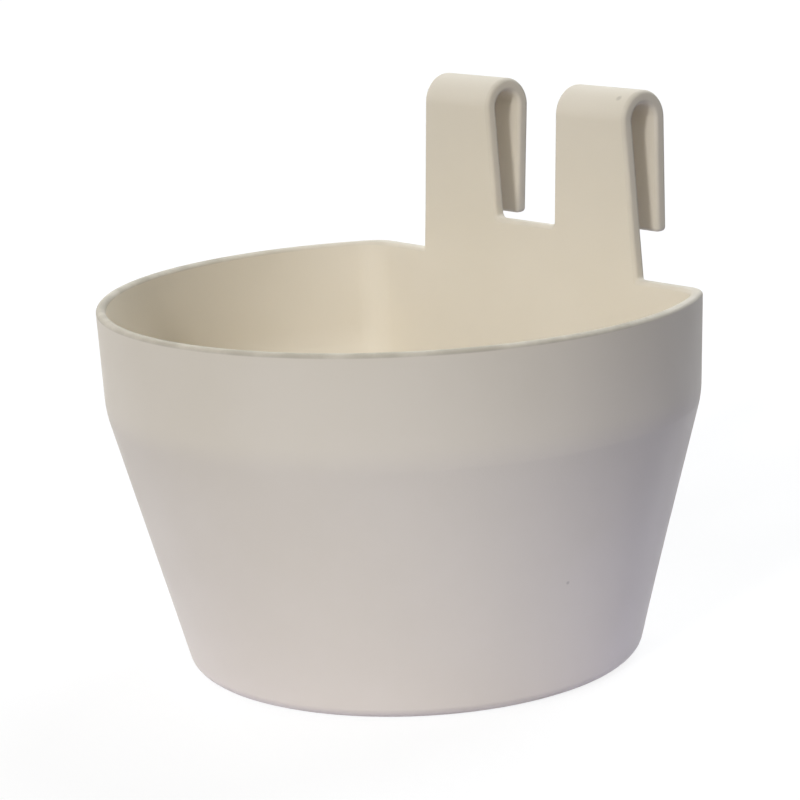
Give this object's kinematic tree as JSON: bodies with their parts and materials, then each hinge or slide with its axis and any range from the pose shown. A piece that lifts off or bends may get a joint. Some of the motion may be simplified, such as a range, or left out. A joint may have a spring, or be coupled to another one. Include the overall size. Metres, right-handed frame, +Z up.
{
  "type": "hook-on feeder cup",
  "caption": "Off-white plastic D-shaped feeder cup with a round tapered front, a flat back and folded strip hooks that hang it on the top of a pen or cage side.",
  "frame": {"origin": "on the underside of the base, on the axis of the round front wall", "axes": "+Z up, +Y towards the flat back and the hooks, +X to the right as seen from the round front"},
  "size_m": [0.12, 0.1055, 0.1104],
  "materials": {
    "cream_plastic": "satin off-white polypropylene, as moulded"
  },
  "bodies": {
    "root": {"cup": "cream_plastic", "hanger_plate": "cream_plastic", "left_hook": "cream_plastic", "right_hook": "cream_plastic"}
  },
  "joints": []
}
